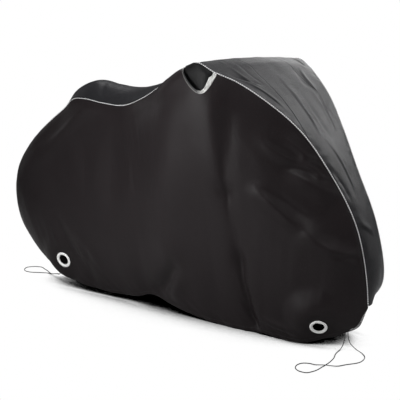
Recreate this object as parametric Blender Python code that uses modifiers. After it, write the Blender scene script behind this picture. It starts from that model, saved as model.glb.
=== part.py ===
"""Fitted cloth cover that stands over a bicycle with its hem at the floor.

Axes: +X towards the front wheel, +Z up, the near side at -Y. Lengths are in metres.
Two piped seams climb from the rear hem corners over the saddle and the handlebar and fall to
the front hem corners. Each joins a side panel to the long top panel. A `run` is a distance
along the near seam from the rear corner, and a `share` is 0 at the seam and 1 at the hem.
"""
import bmesh
import bpy
import numpy as np
from mathutils import Vector

COLLECTION = "bicycle_cover"
NEAR, FAR = -1, 1

# Cloth, piping and cord
CLOTH = 0.002
SEAM_GAP = 0.0009
PIPING_RADIUS = 0.0025
PIPING_CLEARANCE = 0.0005
PIPING_ROUNDNESS = 1
CORD_RADIUS = 0.0015
CORD_POINTS = 42
CORD_ROUNDNESS = 2
MERGE = 0.00005

# Cross-sections of the cover, one row for each place along the seam: its name, the seam's x
# and z, the top panel's crown, the hem's x and z, the half-widths at LEVELS of the way down,
# and how far the cloth rolls up over its seam.
LEVELS = (0.0, 0.03, 0.10, 0.28, 0.55, 0.80, 1.0)
SEAM_X, SEAM_Z, CROWN, HEM_X, HEM_Z, SEAM_HALF, WIDTHS, ROLL = 0, 1, 2, 3, 4, 5, slice(5, 12), 12
SECTIONS = (
    ("tail corner",  -.863,  .172,  .010, -.843,  .158, .042, .045, .050, .056, .060, .063, .065, .000),
    ("tail low",     -.923,  .240,  .012, -.763,  .118, .049, .061, .072, .080, .087, .088, .084, .000),
    ("tail",         -.970,  .390,  .016, -.693,  .092, .060, .078, .100, .120, .130, .124, .100, .000),
    ("tail high",    -.950,  .545,  .018, -.633,  .068, .062, .084, .110, .137, .155, .144, .108, .000),
    ("back",         -.856,  .675,  .020, -.568,  .050, .064, .086, .113, .140, .166, .154, .112, .000),
    ("back high",    -.710,  .786,  .018, -.463,  .032, .070, .084, .106, .136, .174, .163, .111, .000),
    ("under saddle", -.620,  .841,  .024, -.383,  .027, .077, .088, .107, .137, .178, .167, .108, .000),
    ("saddle back",  -.558,  .883,  .052, -.328,  .024, .086, .093, .108, .138, .182, .170, .106, .000),
    ("cantle",       -.473,  .890,  .080, -.278,  .025, .096, .102, .116, .142, .188, .174, .105, .000),
    ("saddle",       -.368,  .878,  .080, -.208,  .028, .100, .108, .123, .151, .195, .179, .106, .000),
    ("saddle nose",  -.223,  .873,  .074, -.128,  .040, .102, .114, .136, .168, .204, .188, .116, .000),
    ("dip",          -.098,  .912,  .052, -.043,  .062, .116, .138, .164, .196, .216, .192, .122, .000),
    ("rise",          .022,  .962,  .034,  .067,  .036, .148, .186, .220, .236, .228, .196, .126, .008),
    ("grip",          .192,  1.004,  .028,  .197,  .014, .232, .292, .306, .291, .240, .196, .130, .034),
    ("bar back",      .297,  1.047,  .020,  .287,  .006, .294, .330, .338, .312, .244, .194, .132, .031),
    ("bar",           .388,  1.076,  .012,  .357,  .004, .336, .345, .350, .322, .246, .190, .134, .004),
    ("bar nose",      .446,  1.046,  .030,  .404,  .003, .325, .332, .338, .310, .240, .188, .135, .000),
    ("bar front",     .515,  1.011,  .018,  .462,  .003, .280, .284, .288, .274, .229, .184, .136, .000),
    ("chest",         .619,  .935,  .014,  .552,  .008, .219, .224, .230, .232, .212, .180, .138, .000),
    ("chest low",     .720,  .832,  .012,  .637,  .003, .150, .157, .168, .187, .192, .174, .138, .000),
    ("wheel top",     .833,  .661,  .012,  .727,  .002, .095, .104, .118, .144, .168, .164, .132, .000),
    ("wheel front",   .928,  .483,  .012,  .807,  .026, .072, .081, .095, .122, .148, .150, .110, .000),
    ("wheel low",     .974,  .300,  .010,  .892,  .064, .067, .071, .076, .094, .108, .106, .086, .000),
    ("wheel corner",  .983,  .178,  .006,  .964,  .150, .061, .0615, .062, .063, .065, .066, .067, .000),
)
CROWN_POWER = 2.3
ROLL_SHARE = 0.035

# Soft folds of the sides: name, one end's x and z, the other's, breadth and height, which is
# below zero for a trough.
FOLDS = (
    ("under the saddle",  -0.436, 0.864,  -0.706, 0.665,  0.045,  0.007),
    ("wheel crease",      -0.587, 0.333,  -0.410, 0.083,  0.035, -0.007),
    ("broad billow",       0.200, 0.860,   0.150, 0.350,  0.110,  0.010),
    ("long trough upper",  0.487, 0.865,   0.453, 0.574,  0.035, -0.010),
    ("long trough middle", 0.453, 0.574,   0.478, 0.303,  0.035, -0.011),
    ("long trough lower",  0.478, 0.303,   0.510, 0.026,  0.035, -0.012),
    ("hem pleat",          0.154, 0.225,   0.011, 0.100,  0.035, -0.012),
    ("chest ridge",        0.613, 0.807,   0.809, 0.672,  0.035,  0.005),
    ("fork ridge",         0.610, 0.586,   0.802, 0.452,  0.040,  0.007),
    ("front ridge",        0.802, 0.452,   0.960, 0.335,  0.035,  0.005),
)
FAR_FOLD_SCALE = 0.75
FOLD_FREE_SHARE = 0.06

# Where the far half of the hem hangs otherwise than the near half: name, middle x and z, reach,
# and the shift in x, y and z
DRAWN = (
    ("front corner",  0.967, 0.112, 0.090, -0.056, -0.034,  0.034),
    ("tail",         -0.790, 0.110, 0.100,  0.000, -0.025, -0.095),
)
DRAWN_FADE = 0.055

# Flat places of the eyelets: name, run, share, where the cloth faces, turned from -Y towards
# +X and raised, in degrees, and the ring's outer and inner radius
EYELETS = (
    ("tail",  0.628, 0.852,   8.0, -16.0,  0.0385, 0.0250),
    ("front", 2.820, 0.872,  30.0, -29.0,  0.0340, 0.0225),
)
FLAT_REACH, BLEND_REACH = 0.078, 0.108
RING_BARREL = 0.0022
RING_LIP = 0.0016
RING_CROWN = 0.0026
RING_BEVEL = 0.0015
RING_CLEARANCE = 0.0003
RING_STEPS = 24
HOLE_CUT = 0.03
HOLE_CLEARANCE = 0.0006

# Strips that hold the eyelets: name, first run, last run, and the share of their upper edge
STRIPS = (
    ("tail",  0.540, 0.716, 0.78),
    ("front", 2.703, 2.937, 0.78),
)
STRIP_RUN_GAP, STRIP_SHARE_GAP = 0.0017, 0.0025

# Top panel: the middle piece is this wide at most, and gussets fill the rest at the handlebar
CENTRE_HALF = 0.130
GUSSET_RUNS = (1.500, 2.470)
GUSSET_TAPER = 0.012

# Vent under each bar end: middle run, the tape's outer and the mouth's inner half-lengths to
# the rear and to the front, how far down each goes, and how round its two sides are
VENT_RUN = 1.965
VENT_OUTER = (0.120, 0.081, 0.100, 1.6, 2.3)
VENT_INNER = (0.114, 0.058, 0.093, 1.6, 3.0)
VENT_RUNS = (1.848, 2.046)
VENT_RECESS_REAR, VENT_RECESS_FRONT = 0.0100, 0.0035
VENT_OVERLAP_RUN, VENT_OVERLAP_SHARE = 0.012, 0.016
VENT_TOP_SHARE, VENT_END_SHARE = 0.012, 0.030

# Grids: each stretch of the seam starts at a run and is divided into this many steps, and the
# other pieces take this many points across
STRETCHES = (
    (0.000, 8), (0.540, 4), (0.716, 11), (GUSSET_RUNS[0] - GUSSET_TAPER, 1), (GUSSET_RUNS[0], 6),
    (1.836, 1), (1.848, 10), (2.046, 1), (2.058, 7), (GUSSET_RUNS[1], 1),
    (GUSSET_RUNS[1] + GUSSET_TAPER, 4), (2.703, 4), (2.937, 4),
)
NORMAL_STEP = 0.002
TOP_POINTS, GUSSET_POINTS, VENT_POINTS, TAPE_POINTS = 7, 4, 6, 3
ROWS = (0.0, 0.03, 0.08, 0.20, 0.38, 0.58, 0.78, 0.835, 0.89, 0.945, 1.0)

# Cords: the points of each loop's way, x, y and z, from behind the near hem and back there
TAIL_CORD = (
    (-0.646, -0.107, 0.077), (-0.651, -0.101, 0.066), (-0.662, -0.093, 0.054),
    (-0.702, -0.070, 0.042), (-0.742, -0.046, 0.031), (-0.783, -0.022, 0.020),
    (-0.824, 0.002, 0.009), (-0.868, 0.028, 0.002),
    (-0.908, 0.050, 0.002), (-0.952, 0.068, 0.002), (-0.987, 0.083, 0.002),
    (-1.028, 0.069, 0.002), (-1.044, 0.037, 0.002), (-1.026, 0.001, 0.002),
    (-0.992, -0.022, 0.002), (-0.955, -0.024, 0.002), (-0.913, -0.002, 0.002),
    (-0.868, 0.019, 0.002), (-0.826, -0.002, 0.009), (-0.785, -0.027, 0.020),
    (-0.744, -0.051, 0.031), (-0.702, -0.075, 0.042), (-0.656, -0.0995, 0.056),
    (-0.646, -0.101, 0.066), (-0.640, -0.1095, 0.079),
)
FRONT_CORD = (
    (0.902, -0.0806, 0.080), (0.896, -0.078, 0.052), (0.898, -0.086, 0.033), (0.896, -0.094, 0.014),
    (0.895, -0.105, 0.005), (0.897, -0.125, 0.002), (0.906, -0.158, 0.002),
    (0.926, -0.203, 0.002), (0.939, -0.250, 0.002), (0.947, -0.310, 0.002),
    (0.948, -0.378, 0.002), (0.938, -0.403, 0.002), (0.913, -0.407, 0.002),
    (0.877, -0.384, 0.002), (0.864, -0.348, 0.002), (0.869, -0.326, 0.002),
    (0.889, -0.313, 0.002), (0.917, -0.313, 0.003), (0.949, -0.305, 0.0065),
    (0.984, -0.279, 0.003), (1.001, -0.241, 0.002), (1.026, -0.186, 0.002),
    (1.021, -0.148, 0.002), (1.009, -0.121, 0.002), (0.980, -0.093, 0.003),
    (0.946, -0.082, 0.010), (0.919, -0.080, 0.030), (0.909, -0.076, 0.058),
    (0.908, -0.0780, 0.084),
)

# Colours, roughness and metallic value of each material
LOOKS = {
    "side_cloth": ((0.030, 0.028, 0.029), 0.62, 0.0),
    "top_cloth": ((0.120, 0.120, 0.126), 0.55, 0.0),
    "dark_cloth": ((0.012, 0.012, 0.013), 0.70, 0.0),
    "piping": ((0.600, 0.600, 0.600), 0.40, 0.0),
    "tape": ((0.450, 0.450, 0.440), 0.35, 0.0),
    "ring": ((0.800, 0.800, 0.790), 0.30, 0.0),
    "cord": ((0.030, 0.030, 0.032), 0.65, 0.0),
}


def smooth(knots, values, at):
    """Cubic through `values`, along their last axis, at `knots`.

    The slope at a knot is the mean of the slopes beside it, each weighted by the other's
    length, and both ends run out straight.
    """
    knots, values, at = np.asarray(knots, float), np.asarray(values, float), np.asarray(at, float)
    steps = np.diff(knots)
    slopes = np.diff(values, axis=-1) / steps
    inner = (slopes[..., :-1] * steps[1:] + slopes[..., 1:] * steps[:-1]) / (steps[1:] + steps[:-1])
    first = 1.5 * slopes[..., :1] - 0.5 * inner[..., :1]
    last = 1.5 * slopes[..., -1:] - 0.5 * inner[..., -1:]
    tangents = np.concatenate([first, inner, last], -1)
    shape = np.broadcast_shapes(at.shape, values.shape[:-1])
    at = np.broadcast_to(at, shape)
    values = np.broadcast_to(values, shape + knots.shape)
    tangents = np.broadcast_to(tangents, shape + knots.shape)
    index = np.clip(np.searchsorted(knots, at, side="right") - 1, 0, len(knots) - 2)

    def pick(array, offset):
        return np.take_along_axis(array, (index + offset)[..., None], -1)[..., 0]

    length = steps[index]
    s = (at - knots[index]) / length
    start = (1 + 2 * s) * (1 - s) ** 2 * pick(values, 0) + s * (1 - s) ** 2 * length * pick(tangents, 0)
    end = s * s * (3 - 2 * s) * pick(values, 1) + s * s * (s - 1) * length * pick(tangents, 1)
    return start + end


def fade(x):
    """Smooth step from 0 to 1 as x goes from 0 to 1."""
    x = np.clip(x, 0.0, 1.0)
    return x * x * (3 - 2 * x)


TABLE = np.array([row[1:] for row in SECTIONS])
SEAM_POINTS = np.stack([TABLE[:, SEAM_X], -TABLE[:, WIDTHS][:, 0], TABLE[:, SEAM_Z]], 1)
RUNS = np.concatenate([[0.0], np.cumsum(np.linalg.norm(np.diff(SEAM_POINTS, axis=0), axis=1))])


def section(run):
    """The table's columns at a run along the seam, on a new last axis."""
    return smooth(RUNS, TABLE.T, np.asarray(run, float)[..., None])


def seam_half(run):
    """Half the top panel's width at a run."""
    return section(run)[..., SEAM_HALF]


def seam_direction(run):
    """Direction of the seam in side view, as x and z."""
    change = section(run + NORMAL_STEP) - section(run - NORMAL_STEP)
    length = np.hypot(change[..., SEAM_X], change[..., SEAM_Z])
    return change[..., SEAM_X] / length, change[..., SEAM_Z] / length


def fold_height(x, z):
    """Height of the soft folds at a place of the side: a bell across each fold's line."""
    height = np.zeros(np.shape(x))
    for _, x0, z0, x1, z1, breadth, rise in FOLDS:
        length = np.hypot(x1 - x0, z1 - z0)
        along = ((x - x0) * (x1 - x0) + (z - z0) * (z1 - z0)) / length
        across = ((x - x0) * (z1 - z0) - (z - z0) * (x1 - x0)) / length
        past = along - np.clip(along, 0, length)
        height += rise * np.exp(-((across ** 2 + past ** 2) / breadth ** 2))
    return height


def draw_back(points):
    """Shift the far half of the hem: drawn back by its cord at the front, lower at the tail."""
    far = fade((points[..., 1] + DRAWN_FADE) / (2 * DRAWN_FADE))
    shift = 0 * points
    for _, x, z, reach, *move in DRAWN:
        distance = np.hypot(points[..., 0] - x, points[..., 2] - z) / reach
        shift = shift + (np.exp(-distance ** 2) * far)[..., None] * np.array(move)
    return points + shift


def draped_side(run, share, hand):
    """Points of a side before its eyelets flatten it: straight lines from seam to hem in side
    view, the half-width read down the section, folds added to the half-width."""
    row = section(run)
    x = row[..., SEAM_X] + (row[..., HEM_X] - row[..., SEAM_X]) * share
    z = row[..., SEAM_Z] + (row[..., HEM_Z] - row[..., SEAM_Z]) * share
    half = smooth(LEVELS, row[..., WIDTHS], share)
    folds = fold_height(x, z) * fade(share / FOLD_FREE_SHARE)
    half = half + folds * (1.0 if hand == NEAR else FAR_FOLD_SCALE)
    roll = share / ROLL_SHARE
    z = z + row[..., ROLL] * roll * np.exp(1 - roll)
    return draw_back(np.stack([x, hand * half, z], -1))


def eyelet_frame(eyelet, hand):
    """Middle and outward normal of an eyelet."""
    _, run, share, turn, raised, _, _ = eyelet
    turn, raised = np.radians(turn), np.radians(raised)
    level = np.cos(raised)
    normal = np.array([np.sin(turn) * level, hand * np.cos(turn) * level, np.sin(raised)])
    return draped_side(np.array(run), np.array(share), hand), normal


def side(run, share, hand):
    """Points of a side, flat around each eyelet."""
    points = draped_side(run, share, hand)
    for eyelet in EYELETS:
        middle, normal = eyelet_frame(eyelet, hand)
        off = (points - middle) @ normal
        flat = points - off[..., None] * normal
        reach = np.linalg.norm(flat - middle, axis=-1)
        weight = 1 - fade((reach - FLAT_REACH) / (BLEND_REACH - FLAT_REACH))
        points = points - (weight * off)[..., None] * normal
    return points


def side_normal(run, share, hand):
    """Outward normals of a side, from small steps along it."""
    along = side(run + NORMAL_STEP, share, hand) - side(run - NORMAL_STEP, share, hand)
    down = side(run, share + NORMAL_STEP, hand) - side(run, share - NORMAL_STEP, hand)
    normal = np.cross(along, down) * hand
    return normal / np.linalg.norm(normal, axis=-1, keepdims=True)


def top(run, across):
    """Points of the top panel, crowned over the line between its two seams."""
    row = section(run)
    along_x, along_z = seam_direction(run)
    rise = row[..., CROWN] * (1 - np.clip(np.abs(across) / row[..., SEAM_HALF], 0, 1) ** CROWN_POWER)
    x = row[..., SEAM_X] - rise * along_z
    z = row[..., SEAM_Z] + rise * along_x
    return draw_back(np.stack([x, across, z], -1))


def stations():
    """Runs of all the columns."""
    starts = [start for start, _ in STRETCHES] + [RUNS[-1]]
    pieces = [
        np.linspace(start, end, steps, endpoint=False)
        for (start, steps), end in zip(STRETCHES, starts[1:])
    ]
    return np.concatenate(pieces + [[RUNS[-1]]])


def between(first, last):
    """Runs of the columns from one run to another, with both of them."""
    runs = stations()
    return runs[(runs > first - MERGE) & (runs < last + MERGE)]


def vent_edge(run, shape):
    """Share down to which a vent's outline cuts the side: a deep round-bottomed scallop."""
    rear, front, depth, rear_power, front_power = shape
    away = run - VENT_RUN
    reach = np.where(away < 0, np.abs(away) / rear, np.abs(away) / front)
    power = np.where(away < 0, rear_power, front_power)
    return depth * (1 - np.clip(reach, 0, 1) ** power)


def first_share(run):
    """Share at which the side starts, clear of the piping."""
    row = section(run)
    along_x, along_z = seam_direction(run)
    down_x, down_z = row[..., HEM_X] - row[..., SEAM_X], row[..., HEM_Z] - row[..., SEAM_Z]
    return (PIPING_RADIUS + PIPING_CLEARANCE) / np.abs(down_x * along_z - down_z * along_x)


def material(name):
    """The Principled material of one kind of piece."""
    colour, roughness, metallic = LOOKS[name]
    made = bpy.data.materials.new(name)
    made.use_nodes = True
    shader = made.node_tree.nodes["Principled BSDF"]
    shader.inputs["Base Color"].default_value = (*colour, 1.0)
    shader.inputs["Roughness"].default_value = roughness
    shader.inputs["Metallic"].default_value = metallic
    return made


def add_object(name, data, look, collection):
    """Put a new object with its own material in a collection."""
    made = bpy.data.objects.new(name, data)
    data.materials.append(material(look))
    collection.objects.link(made)
    return made


def sheet(name, points, look, collection, outward, keep=None):
    """A cloth sheet over a grid of points, thickened to the inside.

    `outward` is False where the grid's own faces point inwards, and `keep` says which cells
    of the grid belong to the piece.
    """
    rows, columns = points.shape[:2]
    number = np.arange(rows * columns).reshape(rows, columns)
    cells = np.stack([number[:-1, :-1], number[1:, :-1], number[1:, 1:], number[:-1, 1:]], -1)
    cells = cells.reshape(-1, 4) if keep is None else cells[keep]
    if not outward:
        cells = cells[:, ::-1]
    used = np.unique(cells)
    fresh = np.full(rows * columns, -1)
    fresh[used] = np.arange(len(used))
    mesh = bpy.data.meshes.new(name)
    mesh.from_pydata(points.reshape(-1, 3)[used].tolist(), [], fresh[cells].tolist())
    mesh.shade_smooth()
    made = add_object(name, mesh, look, collection)
    solidify = made.modifiers.new("Thickness", "SOLIDIFY")
    solidify.thickness = CLOTH
    solidify.offset = -1.0
    return made


def make_side(name, hand, collection):
    """A side panel, with notches for its eyelet strips and a scallop for its vent."""
    run, row = np.meshgrid(stations(), ROWS, indexing="ij")
    start = np.maximum(first_share(run), vent_edge(run, VENT_OUTER))
    share = start + (1 - start) * row
    middle_run = (run[:-1, :-1] + run[1:, 1:]) / 2
    middle_row = (row[:-1, :-1] + row[1:, 1:]) / 2
    keep = np.ones(middle_run.shape, bool)
    for _, first, last, upper in STRIPS:
        keep &= ~((middle_run > first) & (middle_run < last) & (middle_row > upper))
    points = side(run, share, hand)
    sheet(f"side_{name}", points, "side_cloth", collection, hand == FAR, keep)


def make_strip(strip, eyelet, name, hand, collection, cutters):
    """The strip of hem that holds one eyelet, with a round hole in its flat part."""
    place, first, last, upper = strip
    *_, hole = eyelet
    runs = between(first, last)
    rows = np.array([row for row in ROWS if row > upper - MERGE])
    runs[0], runs[-1] = first + STRIP_RUN_GAP, last - STRIP_RUN_GAP
    run, row = np.meshgrid(runs, rows, indexing="ij")
    start = first_share(run)
    share = start + (1 - start) * row
    share[:, 0] += STRIP_SHARE_GAP
    points = side(run, share, hand)
    made = sheet(f"eyelet_strip_{place}_{name}", points, "side_cloth", collection, hand == FAR)
    middle, normal = eyelet_frame(eyelet, hand)
    mesh = bpy.data.meshes.new(f"hole_{place}_{name}")
    shape = bmesh.new()
    radius = hole + RING_BARREL + HOLE_CLEARANCE
    bmesh.ops.create_cone(
        shape, cap_ends=True, segments=RING_STEPS, radius1=radius, radius2=radius, depth=HOLE_CUT
    )
    shape.to_mesh(mesh)
    shape.free()
    cutter = bpy.data.objects.new(mesh.name, mesh)
    cutters.objects.link(cutter)
    cutter.hide_render = True
    cutter.display_type = "WIRE"
    face_along(cutter, middle, normal)
    cut = made.modifiers.new("Hole", "BOOLEAN")
    cut.operation = "DIFFERENCE"
    cut.object = cutter


def face_along(made, middle, normal):
    """Move an object to a point and turn its Z axis along a direction."""
    made.location = middle
    made.rotation_mode = "QUATERNION"
    made.rotation_quaternion = Vector((0, 0, 1)).rotation_difference(Vector(normal))


def make_ring(eyelet, name, hand, collection):
    """A moulded eyelet ring: a barrel through the cloth with a rounded flange on each face."""
    front = RING_CLEARANCE
    back = -CLOTH - RING_CLEARANCE
    place, *_, outer, inner = eyelet
    profile = (
        (inner, front + RING_LIP), ((inner + outer) / 2, front + RING_CROWN),
        (outer - RING_BEVEL, front + RING_LIP), (outer, front),
        (inner + RING_BARREL, front), (inner + RING_BARREL, back),
        (outer, back), (outer - RING_BEVEL, back - RING_LIP), (inner, back - RING_LIP),
    )
    mesh = bpy.data.meshes.new("ring")
    edges = [(i, (i + 1) % len(profile)) for i in range(len(profile))]
    mesh.from_pydata([(x, 0.0, z) for x, z in profile], edges, [])
    made = add_object(f"eyelet_ring_{place}_{name}", mesh, "ring", collection)
    turn = made.modifiers.new("Turn", "SCREW")
    turn.axis = "Z"
    turn.steps = turn.render_steps = RING_STEPS
    turn.use_merge_vertices = True
    turn.merge_threshold = MERGE
    middle, normal = eyelet_frame(eyelet, hand)
    face_along(made, middle, normal)


def make_top(collection):
    """The middle piece of the top panel, as wide as the seam allows up to its own width."""
    runs = stations()
    edge = seam_half(runs) - PIPING_RADIUS - PIPING_CLEARANCE
    beside_gusset = (runs > GUSSET_RUNS[0] - MERGE) & (runs < GUSSET_RUNS[1] + MERGE)
    half = np.where(beside_gusset, np.minimum(edge, CENTRE_HALF - SEAM_GAP / 2), edge)
    across = np.linspace(-1, 1, TOP_POINTS)
    sheet("centre_panel", top(runs[:, None], half[:, None] * across), "top_cloth", collection, True)


def make_gusset(name, hand, collection):
    """The outer piece of the top panel at one bar end, between the middle piece and the seam."""
    runs = between(*GUSSET_RUNS)
    edge = seam_half(runs) - PIPING_RADIUS - PIPING_CLEARANCE
    inner = CENTRE_HALF + SEAM_GAP / 2
    part = np.linspace(0, 1, GUSSET_POINTS)
    across = inner + (edge - inner)[:, None] * part
    sheet(f"gusset_{name}", top(runs[:, None], hand * across), "top_cloth", collection, hand == FAR)


def make_vent(name, hand, collection):
    """The dark cloth behind a vent's mouth and the tape around the mouth."""
    runs = between(VENT_RUNS[0] - VENT_OVERLAP_RUN, VENT_RUNS[1] + VENT_OVERLAP_RUN)
    part = np.linspace(0, 1, VENT_POINTS)
    mouth = vent_edge(runs, VENT_OUTER)
    upper = np.where(mouth > 0, VENT_TOP_SHARE, VENT_END_SHARE)
    lower = mouth + upper + VENT_OVERLAP_SHARE
    share = upper[:, None] + (lower - upper)[:, None] * part
    run = np.broadcast_to(runs[:, None], share.shape)
    recess = np.linspace(VENT_RECESS_REAR, VENT_RECESS_FRONT, len(runs))[:, None]
    points = side(run, share, hand) - recess[..., None] * side_normal(run, share, hand)
    sheet(f"vent_cloth_{name}", points, "dark_cloth", collection, hand == FAR)
    runs = between(*VENT_RUNS)[1:-1]
    start = first_share(runs)
    inner = np.maximum(vent_edge(runs, VENT_INNER), start)
    outer = vent_edge(runs, VENT_OUTER) - STRIP_SHARE_GAP
    share = inner[:, None] + (outer - inner)[:, None] * np.linspace(0, 1, TAPE_POINTS)
    run = np.broadcast_to(runs[:, None], share.shape)
    sheet(f"vent_tape_{name}", side(run, share, hand), "tape", collection, hand == FAR)


def tube(name, points, radius, roundness, look, collection):
    """A round tube through the given points, with closed ends."""
    curve = bpy.data.curves.new(name, "CURVE")
    curve.dimensions = "3D"
    curve.bevel_depth = radius
    curve.bevel_resolution = roundness
    curve.use_fill_caps = True
    spline = curve.splines.new("POLY")
    spline.points.add(len(points) - 1)
    for point, place in zip(spline.points, points):
        point.co = (*place, 1.0)
    add_object(name, curve, look, collection)


def make_piping(name, hand, collection):
    """The piping along one seam."""
    runs = stations()
    points = top(runs, hand * seam_half(runs))
    tube(f"piping_{name}", points, PIPING_RADIUS, PIPING_ROUNDNESS, "piping", collection)


def make_cord(name, way, collection):
    """A loop of cord lying on the floor, both ends tucked in behind the near hem."""
    route = np.array(way)
    lengths = np.concatenate([[0.0], np.cumsum(np.linalg.norm(np.diff(route, axis=0), axis=1))])
    at = np.linspace(0, lengths[-1], CORD_POINTS)
    points = smooth(lengths, route.T, at[:, None])
    tube(f"cord_loop_{name}", points, CORD_RADIUS, CORD_ROUNDNESS, "cord", collection)


def build():
    """Make the whole cover in an empty scene."""
    for old in list(bpy.data.objects):
        bpy.data.objects.remove(old)
    cover = bpy.data.collections.new(COLLECTION)
    cutters = bpy.data.collections.new("cutters")
    for collection in (cover, cutters):
        bpy.context.scene.collection.children.link(collection)
    make_top(cover)
    for name, hand in (("near", NEAR), ("far", FAR)):
        make_side(name, hand, cover)
        make_gusset(name, hand, cover)
        make_vent(name, hand, cover)
        make_piping(name, hand, cover)
        for strip, eyelet in zip(STRIPS, EYELETS):
            make_strip(strip, eyelet, name, hand, cover, cutters)
            make_ring(eyelet, name, hand, cover)
    make_cord("tail", TAIL_CORD, cover)
    make_cord("front", FRONT_CORD, cover)


build()
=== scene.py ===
"""Studio scene of a fitted cloth cover that stands over a bicycle.

Axes: +X towards the front wheel, +Z up, the near side at -Y. Lengths are in metres. A `run` is
a distance along the piped seam from its rear corner, a `share` goes from 0 at that seam to 1 at
the hem, and `across` is the distance from the middle of the top panel, below zero at the near
side.
"""
from functools import partial

import bpy
import numpy as np
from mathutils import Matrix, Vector


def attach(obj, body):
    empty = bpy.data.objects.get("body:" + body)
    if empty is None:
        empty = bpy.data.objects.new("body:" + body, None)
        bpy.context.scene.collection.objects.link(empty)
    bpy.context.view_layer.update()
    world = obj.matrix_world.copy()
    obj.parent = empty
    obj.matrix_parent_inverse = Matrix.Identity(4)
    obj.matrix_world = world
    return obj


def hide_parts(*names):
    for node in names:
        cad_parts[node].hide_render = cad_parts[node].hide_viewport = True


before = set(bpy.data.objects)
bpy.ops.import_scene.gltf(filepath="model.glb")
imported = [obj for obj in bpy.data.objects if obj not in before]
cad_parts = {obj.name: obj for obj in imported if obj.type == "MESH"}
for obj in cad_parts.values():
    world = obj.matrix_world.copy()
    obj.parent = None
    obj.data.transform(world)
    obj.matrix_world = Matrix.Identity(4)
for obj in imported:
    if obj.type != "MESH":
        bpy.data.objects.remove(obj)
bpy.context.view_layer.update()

NEAR, FAR = -1, 1
HANDS = (("near", NEAR), ("far", FAR))

# ------------------------ Sizes ------------------------
# The visible piping is slimmer than its solid in the frame
PIPING_RADIUS = 0.0019
PIPING_CLEARANCE = 0.0003
CORD_RADIUS = 0.0015
PIPING_SIDES, CORD_SIDES = 12, 10

# Cross-sections, one row for each place along the seam: its name, the seam's x and z, the top
# panel's crown, the hem's x and z, the half-widths at LEVELS of the way down, and how far the
# cloth rolls up over its seam.
LEVELS = (0.0, 0.03, 0.10, 0.28, 0.55, 0.80, 1.0)
SEAM_X, SEAM_Z, CROWN, HEM_X, HEM_Z, SEAM_HALF, WIDTHS, ROLL = 0, 1, 2, 3, 4, 5, slice(5, 12), 12
SECTIONS = (
    ("tail corner",  -.863,  .172,  .010, -.843,  .158, .042, .045, .050, .056, .060, .063, .065, .000),
    ("tail low",     -.923,  .240,  .012, -.763,  .118, .049, .061, .072, .080, .087, .088, .084, .000),
    ("tail",         -.970,  .390,  .016, -.693,  .092, .060, .078, .100, .120, .130, .124, .100, .000),
    ("tail high",    -.950,  .545,  .018, -.633,  .068, .062, .084, .110, .137, .155, .144, .108, .000),
    ("back",         -.856,  .675,  .020, -.568,  .050, .064, .086, .113, .140, .166, .154, .112, .000),
    ("back high",    -.710,  .786,  .018, -.463,  .032, .070, .084, .106, .136, .174, .163, .111, .000),
    ("under saddle", -.620,  .841,  .024, -.383,  .027, .077, .088, .107, .137, .178, .167, .108, .000),
    ("saddle back",  -.558,  .883,  .052, -.328,  .024, .086, .093, .108, .138, .182, .170, .106, .000),
    ("cantle",       -.473,  .890,  .080, -.278,  .025, .096, .102, .116, .142, .188, .174, .105, .000),
    ("saddle",       -.368,  .878,  .080, -.208,  .028, .100, .108, .123, .151, .195, .179, .106, .000),
    ("saddle nose",  -.223,  .873,  .074, -.128,  .040, .102, .114, .136, .168, .204, .188, .116, .000),
    ("dip",          -.098,  .912,  .052, -.043,  .062, .116, .138, .164, .196, .216, .192, .122, .000),
    ("rise",          .022,  .962,  .034,  .067,  .036, .148, .186, .220, .236, .228, .196, .126, .008),
    ("grip",          .192,  1.004,  .028,  .197,  .014, .232, .292, .306, .291, .240, .196, .130, .034),
    ("bar back",      .297,  1.047,  .020,  .287,  .006, .294, .330, .338, .312, .244, .194, .132, .031),
    ("bar",           .388,  1.076,  .012,  .357,  .004, .336, .345, .350, .322, .246, .190, .134, .004),
    ("bar nose",      .446,  1.046,  .030,  .404,  .003, .325, .332, .338, .310, .240, .188, .135, .000),
    ("bar front",     .515,  1.011,  .018,  .462,  .003, .280, .284, .288, .274, .229, .184, .136, .000),
    ("chest",         .619,  .935,  .014,  .552,  .008, .219, .224, .230, .232, .212, .180, .138, .000),
    ("chest low",     .720,  .832,  .012,  .637,  .003, .150, .157, .168, .187, .192, .174, .138, .000),
    ("wheel top",     .833,  .661,  .012,  .727,  .002, .095, .104, .118, .144, .168, .164, .132, .000),
    ("wheel front",   .928,  .483,  .012,  .807,  .026, .072, .081, .095, .122, .148, .150, .110, .000),
    ("wheel low",     .974,  .300,  .010,  .892,  .064, .067, .071, .076, .094, .108, .106, .086, .000),
    ("wheel corner",  .983,  .178,  .006,  .964,  .150, .061, .0615, .062, .063, .065, .066, .067, .000),
)
# The curve of the crown, and the share at which the rolled cloth stands out most
CROWN_POWER = 2.3
ROLL_SHARE = 0.035

# Broad folds of the sides: name, one end's x and z, the other's, breadth and height
FOLDS = (
    ("under the saddle",  -0.436, 0.864,  -0.706, 0.665,  0.045,  0.007),
    ("wheel crease",      -0.587, 0.333,  -0.410, 0.083,  0.035, -0.007),
    ("broad billow",       0.200, 0.860,   0.150, 0.350,  0.110,  0.010),
    ("long trough upper",  0.487, 0.865,   0.453, 0.574,  0.035, -0.010),
    ("long trough middle", 0.453, 0.574,   0.478, 0.303,  0.035, -0.011),
    ("long trough lower",  0.478, 0.303,   0.510, 0.026,  0.035, -0.012),
    ("hem pleat",          0.154, 0.225,   0.011, 0.100,  0.035, -0.012),
    ("chest ridge",        0.613, 0.807,   0.809, 0.672,  0.035,  0.005),
    ("fork ridge",         0.610, 0.586,   0.802, 0.452,  0.040,  0.007),
    ("front ridge",        0.802, 0.452,   0.960, 0.335,  0.035,  0.005),
)
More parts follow.
